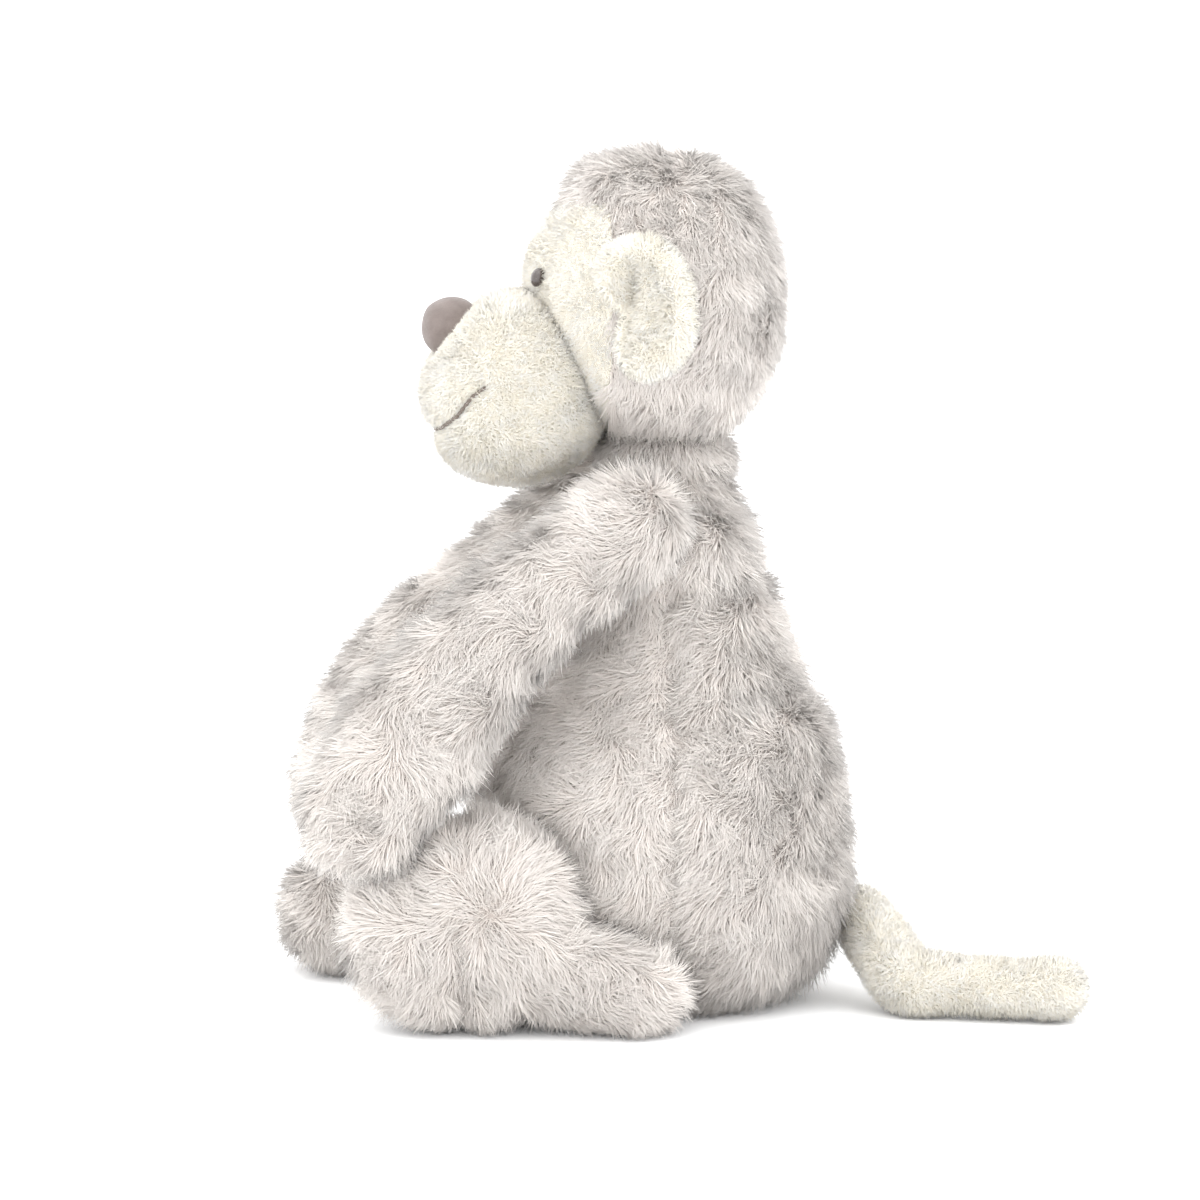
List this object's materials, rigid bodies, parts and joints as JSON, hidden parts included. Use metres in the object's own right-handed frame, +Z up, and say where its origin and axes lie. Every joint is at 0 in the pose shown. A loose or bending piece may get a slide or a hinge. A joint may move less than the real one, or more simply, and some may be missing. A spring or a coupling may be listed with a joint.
{
  "type": "stuffed monkey",
  "caption": "Sitting plush monkey with fur panels, stuffed muzzle, cupped ears, floppy arms and legs, and a curled tail.",
  "frame": {"origin": "centre of the flat seat, on the surface the monkey sits on", "axes": "+Z up, -Y the way the face looks, +X the monkey's left side"},
  "size_m": [0.1176, 0.1947, 0.2127],
  "materials": {
    "greige_fur": "long soft pile, matte",
    "cream_plush": "short curled pile, matte",
    "nose_suede": "smooth napped suede",
    "mouth_thread": "twisted thread",
    "seam_thread": "twisted thread",
    "eye_plastic": "polished",
    "fibre_filling": "loose fibre",
    "cotton_lining": "plain weave",
    "plastic_beans": "pellets"
  },
  "bodies": {
    "torso": {"bean_fill": "plastic_beans", "bean_pouch": "cotton_lining", "seat_panel": "greige_fur", "torso_back_left_panel": "greige_fur", "torso_back_right_panel": "greige_fur", "torso_fibrefill": "fibre_filling", "torso_front_panel": "greige_fur"},
    "head": {"face_panel": "cream_plush", "head_fibrefill": "fibre_filling", "head_left_panel": "greige_fur", "head_right_panel": "greige_fur", "left_eye": "eye_plastic", "left_eye_washer": "eye_plastic", "mouth_stitch": "mouth_thread", "muzzle_cover": "cream_plush", "muzzle_fibrefill": "fibre_filling", "nose_cover": "nose_suede", "nose_fibrefill": "fibre_filling", "right_eye": "eye_plastic", "right_eye_washer": "eye_plastic"},
    "left_arm": {"left_arm_fibrefill": "fibre_filling", "left_arm_inner_panel": "greige_fur", "left_arm_outer_panel": "greige_fur"},
    "left_ear": {"left_ear_back": "cream_plush", "left_ear_front": "cream_plush"},
    "left_leg": {"left_foot_panel": "greige_fur", "left_leg_fibrefill": "fibre_filling", "left_leg_inner_panel": "greige_fur", "left_leg_outer_panel": "greige_fur"},
    "neck": {"neck_fibrefill": "fibre_filling", "neck_seam_thread": "seam_thread"},
    "right_arm": {"right_arm_fibrefill": "fibre_filling", "right_arm_inner_panel": "greige_fur", "right_arm_outer_panel": "greige_fur"},
    "right_ear": {"right_ear_back": "cream_plush", "right_ear_front": "cream_plush"},
    "right_leg": {"right_foot_panel": "greige_fur", "right_leg_fibrefill": "fibre_filling", "right_leg_inner_panel": "greige_fur", "right_leg_outer_panel": "greige_fur"},
    "tail": {"tail_cover": "cream_plush", "tail_fibrefill": "fibre_filling"}
  },
  "joints": [
    {"name": "neck_turn", "type": "hinge", "parent": "torso", "child": "neck", "pos_m": [0, -0.002, 0.136], "axis": [0, 0, 1], "range_deg": [-25, 25], "stiffness_Nm_per_rad": 0.25},
    {"name": "neck_nod", "type": "hinge", "parent": "neck", "child": "head", "pos_m": [0, -0.002, 0.138], "axis": [-1, 0, 0], "range_deg": [-8, 25], "stiffness_Nm_per_rad": 0.4, "springref_deg": 1.15},
    {"name": "left_ear_fold", "type": "hinge", "parent": "head", "child": "left_ear", "pos_m": [0.034, -0.0186, 0.1785], "axis": [0, 0, -1], "range_deg": [0, 50], "stiffness_Nm_per_rad": 0.02},
    {"name": "right_ear_fold", "type": "hinge", "parent": "head", "child": "right_ear", "pos_m": [-0.034, -0.0186, 0.1785], "axis": [0, 0, 1], "range_deg": [0, 50], "stiffness_Nm_per_rad": 0.02},
    {"name": "left_shoulder_swing", "type": "hinge", "parent": "torso", "child": "left_arm", "pos_m": [0.034, -0.013, 0.123], "axis": [-1, 0, 0], "range_deg": [0, 70]},
    {"name": "right_shoulder_swing", "type": "hinge", "parent": "torso", "child": "right_arm", "pos_m": [-0.034, -0.013, 0.123], "axis": [-1, 0, 0], "range_deg": [0, 70]},
    {"name": "left_hip_swing", "type": "hinge", "parent": "torso", "child": "left_leg", "pos_m": [0.0445, -0.012, 0.01], "axis": [1, 0, 0], "range_deg": [0, 80]},
    {"name": "right_hip_swing", "type": "hinge", "parent": "torso", "child": "right_leg", "pos_m": [-0.0445, -0.017, 0.0115], "axis": [1, 0, 0], "range_deg": [0, 80]},
    {"name": "tail_swing", "type": "hinge", "parent": "torso", "child": "tail", "pos_m": [0.003, 0.0455, 0.021], "axis": [0, 0, 1], "range_deg": [-30, 60]}
  ]
}
